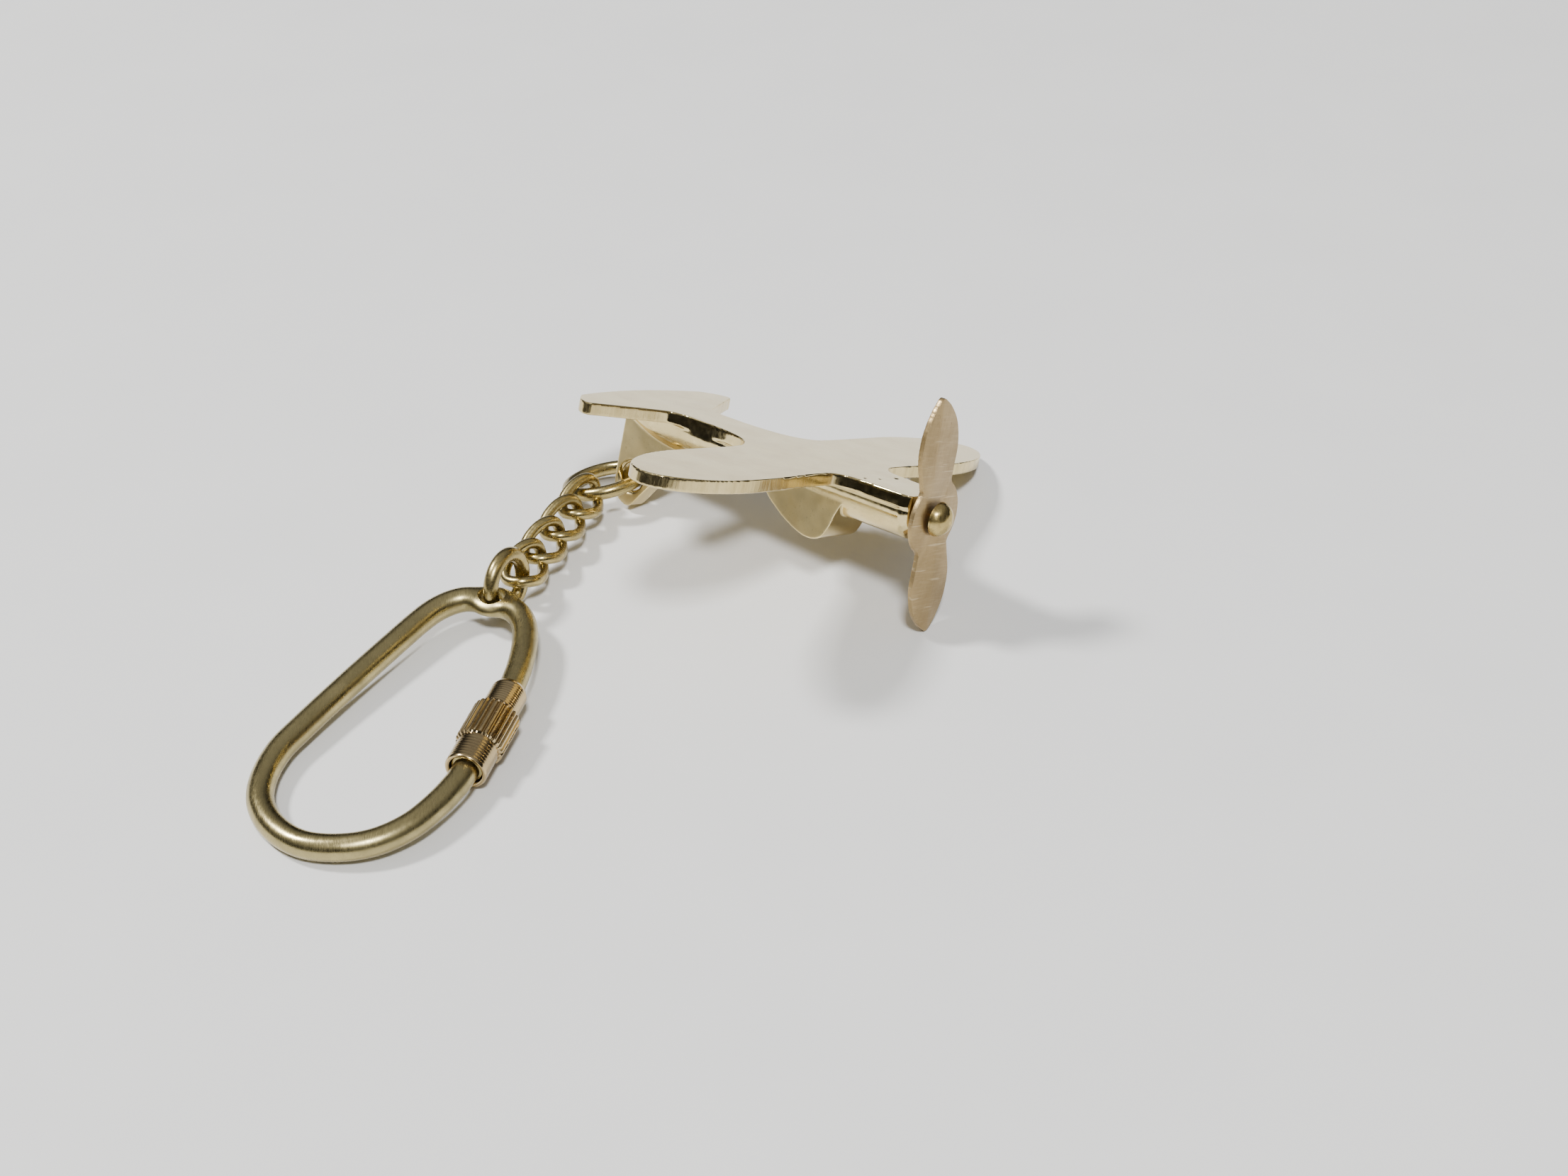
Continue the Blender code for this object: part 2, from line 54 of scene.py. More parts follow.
# Aeroplane
SPAN = 55.96
PLATE = 1.3
WING_X = 12.2
WING_HALF_CHORD = 5.0
WING_TIP_LENGTH = 11.0
TAIL_X = -12.65
TAIL_SWEEP = 1.65
TAIL_HALF_SPAN = 11.8
NOSE_X = 25.2
NOSE_CHAMFER = 0.9
BODY_HALF_WIDTH = 2.9
NOSE_HALF_WIDTH = 3.3
BARREL_TOP = 0.5
BARREL_STRAIGHT = 1.5
BARREL_DEPTH = 4.7
CANOPY_HALF_WIDTH = 3.0
FIN_HALF_THICKNESS = 1.05
FIN_LEADING_X = -3.2
FIN_FOOT = (-10.1, 11.83)
FIN_HOLE = (-10.08, 8.68)
FIN_HOLE_RADIUS = 1.5
FIN_HOLE_FLARE = 0.9
FIN_HOLE_FLARE_DEPTH = 0.3

# The casting's skin: grid size, softening passes, polished waves and casting pits
VOXEL = 0.11
SMOOTH_STEPS = 3
WAVES = ((0.28, 0.02), (1.1, 0.004))
PIT_COUNT = 4
PIT_RADIUS = 0.32
PIT_DEPTH = 0.09

# Propeller and rivet
THRUST_Z = 1.9
PROP_X = 25.9
PROP_THICKNESS = 0.5
PROP_HALF_LENGTH = 12.3
PROP_HUB_RADIUS = 3.85
PROP_TURN = math.radians(15.5)
PROP_BORE = 0.95
SHAFT_RADIUS = 0.75
SHAFT_BORE = 0.87
SHAFT_DEPTH = 4.35
COLLAR_RADIUS = 1.2
COLLAR_GAP = 0.1
COLLAR_LENGTH = 0.2
HEAD_RADIUS = 1.75
HEAD_HEIGHT = 1.455

# Links, in the chain's own frame
LINK_COUNT = 4
LINK_HALF_LENGTH = 2.8
LINK_HALF_WIDTH = 1.8
LINK_WIRE = 0.575
LINK_SQUARENESS = 0.8
LINK_TWIST = math.radians(85.0)
LINK_ROLL = math.radians(-33.8)
JUMP_WIRE = 0.725
SHACKLE_WIRE = 0.75

# Key ring and sleeve
RING_WIRE = 1.24
EYE_RADIUS = 2.05
EYE_THICKNESS = 1.9
EYE_HOLE = 1.25
FLANGE_RADIUS = 1.45
FLANGE_REACH = (2.6, 2.0)
THREAD_RADIUS = 1.46
THREAD_REACH = (-0.42, -4.2)
THREAD_PITCH = 0.5
THREAD_DEPTH = 0.16
SLEEVE_LENGTH = 11.24
SLEEVE_RADIUS_TOP = 1.75
SLEEVE_RADIUS_KNURL = 2.3
SLEEVE_RADIUS_MOUTH = 2.0
SLEEVE_BORE_TOP = 1.37
SLEEVE_BORE = 1.6
SLEEVE_SHOULDER = 1.75
KNURL_START = 3.5
KNURL_END = 8.15
KNURL_TEETH = 26
KNURL_DEPTH = 0.22

# Camera, lamps and floor, in metres
CAMERA_PLACE = (0.01398, -0.1675, 0.1331)
CAMERA_DIRECTION = (-0.003, 0.7953, -0.6063)
CAMERA_LENS_MM = 49.93
LAMP_SIZE = 0.18
LEFT_LAMP = ((-0.78, 0.16, 1.03), 17.0, (1.0, 0.99, 0.975))
FRONT_LAMP = ((0.08, -0.66, 1.10), 15.0, (1.0, 1.0, 0.99))
FLOOR_HALF_SIZE = 1.6
# Brightness of the surroundings from the horizon (0) up to straight overhead (1)
STUDIO_SHADES = ((0.0, 0.03), (0.12, 0.015), (0.40, 0.04), (0.62, 0.26), (0.80, 0.38))


# ---------------------------------------------------------------- camera and light

def look_along(position, direction):
    turn = Vector(direction).to_track_quat("-Z", "Y").to_matrix().to_4x4()
    return Matrix.Translation(Vector(position)) @ turn


def add_camera():
    data = bpy.data.cameras.new("camera")
    data.lens = CAMERA_LENS_MM
    data.sensor_width = 36.0
    data.clip_start = 0.01
    camera = bpy.data.objects.new("camera", data)
    camera.matrix_world = look_along(CAMERA_PLACE, CAMERA_DIRECTION)
    bpy.context.scene.collection.objects.link(camera)
    bpy.context.scene.camera = camera


def add_softbox(name, position, power, colour):
    """Square area lamp aimed at the world's origin."""
    data = bpy.data.lights.new(name, "AREA")
    data.shape = "RECTANGLE"
    data.size = data.size_y = LAMP_SIZE
    data.energy = power
    data.color = colour
    light = bpy.data.objects.new(name, data)
    light.matrix_world = look_along(position, -Vector(position))
    bpy.context.scene.collection.objects.link(light)


def add_world():
    world = bpy.data.worlds.new("studio")
    bpy.context.scene.world = world
    world.use_nodes = True
    tree = world.node_tree
    coords = tree.nodes.new("ShaderNodeTexCoord")
    split = tree.nodes.new("ShaderNodeSeparateXYZ")
    ramp = tree.nodes.new("ShaderNodeValToRGB")
    tree.links.new(coords.outputs["Generated"], split.inputs[0])
    tree.links.new(split.outputs["Z"], ramp.inputs["Fac"])
    bluish = 1.02
    elements = ramp.color_ramp.elements
    while len(elements) < len(STUDIO_SHADES):
        elements.new(0.5)
    for element, (position, value) in zip(elements, STUDIO_SHADES):
        element.position = position
        element.color = (value, value, value * bluish, 1.0)
    background = tree.nodes["Background"]
    background.inputs["Strength"].default_value = 1.0
    tree.links.new(ramp.outputs["Color"], background.inputs["Color"])


def add_floor():
    bm = bmesh.new()
    bmesh.ops.create_grid(bm, x_segments=2, y_segments=2, size=FLOOR_HALF_SIZE)
    mesh = bpy.data.meshes.new("floor")
    bm.to_mesh(mesh)
    bm.free()
    floor = bpy.data.objects.new("floor", mesh)
    bpy.context.scene.collection.objects.link(floor)
    material = bpy.data.materials.new("paper")
    material.use_nodes = True
    tree = material.node_tree
    shader = tree.nodes["Principled BSDF"]
    shader.inputs["Roughness"].default_value = 0.85
    coords = tree.nodes.new("ShaderNodeTexCoord")
    fibres = tree.nodes.new("ShaderNodeTexNoise")
    fibres.inputs["Scale"].default_value = 60.0
    fibres.inputs["Detail"].default_value = 8.0
    ramp = tree.nodes.new("ShaderNodeValToRGB")
    ramp.color_ramp.elements[0].color = (0.80, 0.80, 0.795, 1)
    ramp.color_ramp.elements[1].color = (0.86, 0.86, 0.85, 1)
    tree.links.new(coords.outputs["Object"], fibres.inputs["Vector"])
    tree.links.new(fibres.outputs["Fac"], ramp.inputs["Fac"])
    tree.links.new(ramp.outputs["Color"], shader.inputs["Base Color"])
    mesh.materials.append(material)


# ---------------------------------------------------------------- the aeroplane's frame

def aeroplane_frame():
    """Matrix from the aeroplane's frame to the world, in metres, from its two joints."""
    spin = JOINTS["propeller_spin"]
    ex = Vector(spin["axis"]).normalized()
    ey = Vector(JOINTS["jump_ring_swing"]["axis"]).normalized()
    ez = ex.cross(ey)
    hub = Vector(spin["pos_m"])
    origin = hub - (ex * (PROP_X + PROP_THICKNESS / 2) + ez * THRUST_Z) * MM
    turn = Matrix((ex, ey, ez)).transposed()
    return Matrix.Translation(origin) @ turn.to_4x4()


AEROPLANE = aeroplane_frame()


# ---------------------------------------------------------------- materials

class Nodes:
    """Short names for building one material's node tree."""

    def __init__(self, name, frame_matrix=Matrix.Identity(4)):
        """`frame_matrix` places the frame that the pattern follows, such as the aeroplane's."""
        self.material = bpy.data.materials.new(name)
        self.material.use_nodes = True
        self.tree = self.material.node_tree
        self.shader = self.tree.nodes["Principled BSDF"]
        inverse = frame_matrix.inverted()
        source = self.add("ShaderNodeTexCoord").outputs
        place = self.add("ShaderNodeMapping")
        place.inputs["Location"].default_value = inverse.translation
        place.inputs["Rotation"].default_value = inverse.to_euler()
        self.link(source["Object"], place.inputs["Vector"])
        self.coords = place.outputs["Vector"]
        facing = self.add("ShaderNodeMapping")
        facing.inputs["Rotation"].default_value = inverse.to_euler()
        self.link(source["Normal"], facing.inputs["Vector"])
        self.facing = facing.outputs["Vector"]

    def add(self, kind, **settings):
        node = self.tree.nodes.new(kind)
        for key, value in settings.items():
            setattr(node, key, value)
        return node

    def link(self, source, target):
        self.tree.links.new(source, target)

    def noise(self, scale, detail=3.0, roughness=0.55, vector=None, distortion=0.0):
        node = self.add("ShaderNodeTexNoise")
        node.inputs["Scale"].default_value = scale
        node.inputs["Detail"].default_value = detail
        node.inputs["Roughness"].default_value = roughness
        node.inputs["Distortion"].default_value = distortion
        self.link(vector or self.coords, node.inputs["Vector"])
        return node.outputs["Fac"]

    def stretched(self, rotation, scale):
        """Coordinates squeezed along chosen axes, so that noise turns into lines."""
        node = self.add("ShaderNodeMapping")
        node.inputs["Rotation"].default_value = rotation
        node.inputs["Scale"].default_value = scale
        self.link(self.coords, node.inputs["Vector"])
        return node.outputs["Vector"]

    def ramp(self, value, stops):
        """Colour ramp with (position, colour) stops."""
        node = self.add("ShaderNodeValToRGB")
        elements = node.color_ramp.elements
        while len(elements) < len(stops):
            elements.new(0.5)
        for element, (position, colour) in zip(elements, stops):
            element.position = position
            element.color = (*colour, 1.0)
        self.link(value, node.inputs["Fac"])
        return node.outputs["Color"]

    def span(self, value, low, high, to_low, to_high):
        """Value mapped from low..high to to_low..to_high, and held at the ends."""
        node = self.add("ShaderNodeMapRange")
        for socket, number in zip(node.inputs[1:5], (low, high, to_low, to_high)):
            socket.default_value = number
        self.link(value, node.inputs[0])
        return node.outputs[0]

    def maths(self, operation, first, second):
        node = self.add("ShaderNodeMath", operation=operation)
        for socket, value in zip(node.inputs, (first, second)):
            if isinstance(value, (int, float)):
                socket.default_value = value
            else:
                self.link(value, socket)
        return node.outputs[0]

    def mix(self, factor, first, second):
        node = self.add("ShaderNodeMix", data_type="RGBA")
        self.link(factor, node.inputs["Factor"])
        for socket, value in ((node.inputs[6], first), (node.inputs[7], second)):
            if isinstance(value, tuple):
                socket.default_value = (*value, 1.0)
            else:
                self.link(value, socket)
        return node.outputs[2]

    def bump(self, layers):
        """Chain of bump layers, each (height socket, strength, depth in metres)."""
        normal = None
        for height, strength, depth in layers:
            node = self.add("ShaderNodeBump")
            node.inputs["Strength"].default_value = strength
            node.inputs["Distance"].default_value = depth
            self.link(height, node.inputs["Height"])
            if normal:
                self.link(normal, node.inputs["Normal"])
            normal = node.outputs["Normal"]
        self.link(normal, self.shader.inputs["Normal"])


def brass(name, bright, dull, roughness, grain_turn, grain_scale, hammer=0.25, wear=0.5,
          frame_matrix=Matrix.Identity(4)):
    """Worn brass: tarnish in patches, polished edges, fine directional marks, tiny dents."""
    nodes = Nodes(name, frame_matrix)
    nodes.shader.inputs["Metallic"].default_value = 1.0
    patches = nodes.noise(260.0, 5.0, 0.62, distortion=0.4)
    grain = nodes.noise(3200.0, 3.0, 0.6)
    lines = nodes.noise(900.0, 4.0, 0.7, nodes.stretched(grain_turn, grain_scale))
    tarnish = nodes.ramp(patches, ((0.34, dull), (0.66, bright)))
    pointiness = nodes.add("ShaderNodeNewGeometry").outputs["Pointiness"]
    worn = nodes.span(pointiness, 0.50, 0.56, 0.0, wear)
    colour = nodes.mix(worn, tarnish, tuple(min(1.0, c * 1.25) for c in bright))
    speck = nodes.span(grain, 0.62, 0.74, 0.0, 0.35)
    colour = nodes.mix(speck, colour, tuple(c * 0.45 for c in dull))
    low, high = roughness
    rough = nodes.span(patches, 0.3, 0.7, high, low)
    rough = nodes.maths("ADD", rough, nodes.span(lines, 0.35, 0.75, -0.05, 0.10))
    dents = nodes.noise(700.0, 2.0, 0.5)
    layers = [(dents, hammer, 0.00006), (lines, 0.35, 0.000012), (grain, 0.2, 0.00001)]
    return nodes, colour, rough, layers


def close_material(nodes, colour, rough, layers):
    """Wire the finished colour, roughness and bump layers into the shader."""
    nodes.link(colour, nodes.shader.inputs["Base Color"])
    nodes.link(rough, nodes.shader.inputs["Roughness"])
    nodes.bump(layers)
    return nodes.material


def airframe_brass():
    """Mirror-polished casting: ground edges with upright marks and dark stains on those walls."""
    nodes, colour, rough, layers = brass(
        "airframe_polished_brass", (0.80, 0.66, 0.34), (0.70, 0.56, 0.27), (0.07, 0.13),
        (0.3, 0.2, 0.5), (1.0, 14.0, 1.0), 0.04, 0.3, AEROPLANE)
    facing = nodes.add("ShaderNodeSeparateXYZ")
    nodes.link(nodes.facing, facing.inputs[0])
    place = nodes.add("ShaderNodeSeparateXYZ")
    nodes.link(nodes.coords, place.inputs[0])
    # Ground edges: the plate's upright walls, outboard of the fuselage
    steep = nodes.span(nodes.maths("ABSOLUTE", facing.outputs["Z"], 0.0), 0.35, 0.7, 1.0, 0.0)
    shallow = nodes.span(place.outputs["Z"], 1.35 * MM, 1.75 * MM, 1.0, 0.0)
    aside = nodes.maths("ABSOLUTE", place.outputs["Y"], 0.0)
    outboard = nodes.span(aside, 3.9 * MM, 5.5 * MM, 0.0, 1.0)
    wall = nodes.maths("MULTIPLY", nodes.maths("MULTIPLY", steep, shallow), outboard)
    marks = nodes.noise(1500.0, 3.0, 0.65, nodes.stretched((0, 0, 0), (1.0, 1.0, 0.12)))
    stains = nodes.noise(420.0, 3.0, 0.6, nodes.stretched((0, 0, 0), (1.0, 1.0, 0.35)))
    dark = nodes.maths("MULTIPLY", nodes.span(stains, 0.62, 0.72, 0.0, 0.35), wall)
    colour = nodes.mix(dark, colour, (0.16, 0.11, 0.05))
    colour = nodes.mix(nodes.maths("MULTIPLY", nodes.span(marks, 0.45, 0.65, 0.0, 0.4), wall),
                       colour, (0.42, 0.31, 0.13))
    rough = nodes.maths("ADD", rough, nodes.maths("MULTIPLY", wall, 0.10))
    # Matt flanks: the flat sides of the canopy and the fin
    sideways = nodes.span(nodes.maths("ABSOLUTE", facing.outputs["Y"], 0.0), 0.80, 0.95, 0.0, 1.0)
    deep = nodes.span(place.outputs["Z"], 2.2 * MM, 3.0 * MM, 0.0, 1.0)
    flank = nodes.maths("MULTIPLY", sideways, deep)
    rough = nodes.maths("ADD", rough, nodes.maths("MULTIPLY", flank, 0.33))
    # Casting pits, in a few patches
    spots = nodes.add("ShaderNodeTexVoronoi")
    spots.inputs["Scale"].default_value = 420.0
    nodes.link(nodes.coords, spots.inputs["Vector"])
    rare = nodes.noise(170.0, 1.0, 0.5)
    pit = nodes.maths("MULTIPLY", nodes.span(spots.outputs["Distance"], 0.04, 0.10, 1.0, 0.0),
                      nodes.span(rare, 0.56, 0.60, 0.0, 1.0))
    colour = nodes.mix(nodes.maths("MULTIPLY", pit, 0.7), colour, (0.20, 0.14, 0.07))
    cut_marks = nodes.maths("MULTIPLY", marks, wall)
    layers += [(cut_marks, 0.6, 0.00005), (nodes.maths("SUBTRACT", 1.0, pit), 0.5, 0.00005)]
    return close_material(nodes, colour, rough, layers)


def propeller_brass():
    """Matt sheet: cross-hatched sanding lines and a few brighter diagonal scratches."""
    nodes, colour, rough, layers = brass(
        "propeller_sheet_brass", (0.40, 0.29, 0.145), (0.30, 0.215, 0.105), (0.36, 0.46),
        (0.0, 0.0, 0.0), (6.0, 6.0, 0.5), 0.10, 0.6, AEROPLANE)
    weave = nodes.noise(1100.0, 2.0, 0.6, nodes.stretched((0.35, 0, 0), (3.0, 0.35, 4.5)))
    colour = nodes.mix(nodes.span(weave, 0.50, 0.66, 0.0, 0.4), colour, (0.50, 0.38, 0.21))
    scratch = nodes.noise(620.0, 1.5, 0.5, nodes.stretched((0.35, 0, 0), (1.0, 0.30, 5.0)))
    line = nodes.span(scratch, 0.66, 0.70, 0.0, 1.0)
    colour = nodes.mix(nodes.maths("MULTIPLY", line, 0.5), colour, (0.70, 0.57, 0.36))
    layers += [(weave, 0.5, 0.00003), (line, 0.4, 0.00002)]
    return close_material(nodes, colour, rough, layers)


MATERIALS = {
    "airframe": airframe_brass(),
    "propeller": propeller_brass(),
    "rivet": close_material(*brass(
        "rivet_hammered_brass", (0.62, 0.49, 0.20), (0.44, 0.33, 0.13), (0.20, 0.32),
        (0.5, 0.1, 0.2), (2.0, 6.0, 2.0), 0.5, 0.5, AEROPLANE)),
    "wire": close_material(*brass(
        "chain_wire_brass", (0.48, 0.385, 0.165), (0.30, 0.24, 0.11), (0.20, 0.34),
        (0.2, 0.5, 0.9), (3.0, 3.0, 9.0), 0.35)),
    "ring": close_material(*brass(
        "key_ring_worn_brass", (0.48, 0.40, 0.19), (0.31, 0.26, 0.125), (0.22, 0.36),
        (0.0, 0.0, 0.55), (12.0, 2.0, 2.0), 0.35)),
    "sleeve": close_material(*brass(
        "sleeve_turned_brass", (0.56, 0.43, 0.23), (0.40, 0.30, 0.155), (0.12, 0.24),
        (0.0, 0.0, -0.28), (1.0, 16.0, 1.0), 0.10)),
}


# ---------------------------------------------------------------- shape tools

def mesh_object(name, bm):
    """Object from a bmesh in millimetres, linked to the scene."""
    bmesh.ops.recalc_face_normals(bm, faces=bm.faces)
    bmesh.ops.scale(bm, vec=(MM, MM, MM), verts=bm.verts)
    mesh = bpy.data.meshes.new(name)
    bm.to_mesh(mesh)
    bm.free()
    obj = bpy.data.objects.new(name, mesh)
    bpy.context.scene.collection.objects.link(obj)
    return obj


def apply_modifiers(obj):
    """Replace the object's mesh with its evaluated one and drop its modifiers."""
    bpy.context.view_layer.update()
    graph = bpy.context.evaluated_depsgraph_get()
    mesh = bpy.data.meshes.new_from_object(obj.evaluated_get(graph))
    obj.modifiers.clear()
    obj.data = mesh


def join(obj, tool, operation):
    """Union with, or difference from, a helper solid that is then removed."""
    modifier = obj.modifiers.new("join", "BOOLEAN")
    modifier.operation = operation
    modifier.solver = "MANIFOLD"
    modifier.object = tool
    apply_modifiers(obj)
    bpy.data.objects.remove(tool, do_unlink=True)


def finish_piece(obj, material, body, nodes, sharp=None):
    """Shade, colour and register a piece; `sharp` is the angle in degrees of hard edges."""
    obj.data.shade_smooth()
    if sharp:
        obj.data.set_sharp_from_angle(angle=math.radians(sharp))
    obj.data.materials.clear()
    obj.data.materials.append(MATERIALS[material])
    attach(obj, body)
    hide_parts(*nodes)


def bridge_sections(sections, closed=False):
    """Closed solid through matching rings of points, capped unless it closes on itself."""
    bm = bmesh.new()
    rings = [[bm.verts.new(co) for co in section] for section in sections]
    following = rings[1:] + rings[:1] if closed else rings[1:]
    for first, second in zip(rings, following):
        for i in range(len(first)):
            j = (i + 1) % len(first)
            bm.faces.new((first[i], first[j], second[j], second[i]))
    if not closed:
        bm.faces.new(rings[0])
        bm.faces.new(rings[-1])
    return bm


def wire(points, radii, facing, sides, closed):
    """Wire along `points`; a radius is one number, or (across, out) for an oval section."""
    sections = []
    count = len(points)
    for i, centre in enumerate(points):
        before = points[i - 1] if closed or i > 0 else centre
        after = points[(i + 1) % count] if closed or i < count - 1 else centre
        along = (after - before).normalized()
        across = facing[i].cross(along).normalized()
        out = along.cross(across)
        wide, thick = radii[i] if isinstance(radii[i], tuple) else (radii[i], radii[i])
        turns = (math.tau * k / sides for k in range(sides))
        sections.append([centre + wide * math.cos(t) * across + thick * math.sin(t) * out
                         for t in turns])
    return bridge_sections(sections, closed)


def lathe(profile, steps):
    """Solid of revolution about +X from (x, radius) pairs; a radius of 0 is a pole."""
    bm = bmesh.new()
    rings = []
    for x, radius in profile:
        if radius == 0.0:
            rings.append([bm.verts.new((x, 0, 0))])
            continue
        turns = (math.tau * k / steps for k in range(steps))
        rings.append([bm.verts.new((x, radius * math.cos(t), radius * math.sin(t)))
                      for t in turns])
    for first, second in zip(rings, rings[1:]):
        for i in range(steps):
            j = (i + 1) % steps
            corners = [first[i % len(first)], first[j % len(first)],
                       second[j % len(second)], second[i % len(second)]]
            bm.faces.new(list(dict.fromkeys(corners)))
    for ring in (rings[0], rings[-1]):
        if len(ring) > 1:
            bm.faces.new(ring)
    return bm


def prism(outline, axis, low, high):
    """Closed solid: a flat outline extruded along one axis of its frame."""
    def point(a, b, c):
        return {"X": (c, a, b), "Y": (a, c, b), "Z": (a, b, c)}[axis]

    bm = bmesh.new()
    face = bm.faces.new([bm.verts.new(point(a, b, low)) for a, b in outline])
    extruded = bmesh.ops.extrude_face_region(bm, geom=[face])["geom"]
    moved = [item for item in extruded if isinstance(item, bmesh.types.BMVert)]
    bmesh.ops.translate(bm, vec=Vector(point(0, 0, high - low)), verts=moved)
    return bm


def spline(points, steps):
    """Catmull-Rom curve through open 2-D points, with `steps` pieces per span."""
    ends = [points[0]] + list(points) + [points[-1]]
    curve = []
    for p0, p1, p2, p3 in zip(ends, ends[1:], ends[2:], ends[3:]):
        for k in range(steps):
            t = k / steps
            curve.append(tuple(
                0.5 * (2 * b + (c - a) * t + (2 * a - 5 * b + 4 * c - d) * t ** 2
                       + (3 * b - a - 3 * c + d) * t ** 3)
                for a, b, c, d in zip(p0, p1, p2, p3)))
    curve.append(tuple(points[-1]))
    return curve


# ---------------------------------------------------------------- airframe

def half_plan():
    """Port half of the belly's outline, from the tail's centre line to the nose."""
    tail = []
    for y in (0.0, 2.4, 4.8, 7.2, 9.6):
        tail.append((TAIL_X + TAIL_SWEEP * (y / TAIL_HALF_SPAN) ** 2, y))
    tip = spline([tail[-1], (-10.3, 11.2), (-9.2, TAIL_HALF_SPAN), (-8.5, 11.45)], 5)
    front = spline([(-8.3, 10.9), (-5.2, 4.4), (-4.4, 3.35), (-3.0, BODY_HALF_WIDTH)], 5)
    waist = spline([(0.0, BODY_HALF_WIDTH), (2.6, 3.2), (4.6, 3.8), (6.1, 4.9), (7.0, 6.6),
                    (7.2, 9.0)], 6)
    tip_y = SPAN / 2 - WING_TIP_LENGTH
    wing = []
    wing_steps = 40
    for k in range(wing_steps + 1):
        angle = math.pi * k / wing_steps
        wing.append((WING_X - WING_HALF_CHORD * math.cos(angle),
                     tip_y + WING_TIP_LENGTH * math.sin(angle)))
    shoulder = spline([(17.15, 12.0), (16.9, 8.5), (16.9, 5.6), (17.5, 4.3), (18.6, 3.65),
                       (20.5, 3.42), (NOSE_X - NOSE_CHAMFER, NOSE_HALF_WIDTH),
                       (NOSE_X, NOSE_HALF_WIDTH - NOSE_CHAMFER / 2)], 5)
    return tail[:-1] + tip + front + waist + wing + shoulder


def belly_plate():
    port = half_plan()
    starboard = [(x, -y) for x, y in reversed(port) if y > 0.0]
    return prism(port + starboard, "Z", 0.0, PLATE)


def barrel_section(x, half_width, depth):
    """D-shaped section: flat inside the belly plate, straight sides, round bottom."""
    arc = []
    steps = 40
    for k in range(steps + 1):
        angle = math.pi * k / steps
        drop = (depth - BARREL_STRAIGHT) * math.sin(angle) ** 0.9
        arc.append(Vector((x, half_width * math.cos(angle), BARREL_STRAIGHT + drop)))
    top = [Vector((x, -half_width, BARREL_TOP)), Vector((x, half_width, BARREL_TOP))]
    return top + arc


def barrel():
    """Fuselage under the plate, from (x, half width, depth) stations, tail to nose."""
    side = NOSE_HALF_WIDTH - 0.05
    stations = spline([(TAIL_X + 0.4, 1.3, 2.6), (-9.0, 1.9, 3.8), (-6.0, 2.45, 4.3),
                       (-2.0, BODY_HALF_WIDTH, 4.55), (5.0, 3.0, BARREL_DEPTH),
                       (17.0, side, BARREL_DEPTH), (NOSE_X - 1.0, side, BARREL_DEPTH)], 4)
    stations += [(NOSE_X - 0.7, 3.17, 4.55), (NOSE_X - 0.4, 3.0, 4.25), (NOSE_X - 0.05, 2.78, 3.85)]
    return bridge_sections([barrel_section(*station) for station in stations])


def canopy():
    """Flat-sided disc-like lobe, rounded below and steep towards the nose."""
    profile = spline([(5.8, 1.0), (8.4, 4.4), (10.2, 5.8), (11.9, 6.75), (13.6, 7.35),
                      (15.0, 7.4), (16.1, 6.8), (16.7, 5.6), (17.0, 4.5), (17.6, 3.0)], 6)
    return prism(profile, "Y", -CANOPY_HALF_WIDTH, CANOPY_HALF_WIDTH)


def fin():
    """Tail fin with a rounded foot and a sweeping front edge."""
    root_z = 0.6
    outline = [(TAIL_X + 0.3, root_z)]
    outline += spline([(-12.2, 9.2), (-11.9, 10.5), (-11.2, 11.4), FIN_FOOT,
                       (-9.5, 11.65), (-9.0, 11.1)], 5)
    outline += [(-7.1, 8.5), (-5.0, 5.2), (FIN_LEADING_X, 3.4), (FIN_LEADING_X, root_z)]
    return prism(outline, "Y", -FIN_HALF_THICKNESS, FIN_HALF_THICKNESS)


def turned_along_y(x, z, profile):
    """Turned tool about an axis along the aeroplane's Y, from (y, radius) pairs."""
    bm = lathe(profile, 48)
    bmesh.ops.rotate(bm, matrix=Matrix.Rotation(math.radians(90), 3, "Z"), verts=bm.verts)
    bmesh.ops.translate(bm, vec=Vector((x, 0, z)), verts=bm.verts)
    return bm


def roughen_casting(obj):
    """Hand-polished waviness, and small casting pits near the canopy and nose."""
    pits = []
    for k in range(PIT_COUNT):
        pits.append(Vector((19.2 + 0.9 * math.sin(7 * k), 2.4 * math.cos(5 * k), -0.05)))
    places = [vertex.co / MM for vertex in obj.data.vertices]
    normals = [vertex.normal.copy() for vertex in obj.data.vertices]
    moved = []
    for place, normal in zip(places, normals):
        wave = sum(noise.noise(place * scale) * height for scale, height in WAVES)
        for pit in pits:
            gap = (place - pit).length
            if gap < PIT_RADIUS:
                wave -= PIT_DEPTH * (1 - gap / PIT_RADIUS) ** 2
        moved.extend((place + normal * wave) * MM)
    obj.data.vertices.foreach_set("co", moved)
    obj.data.update()


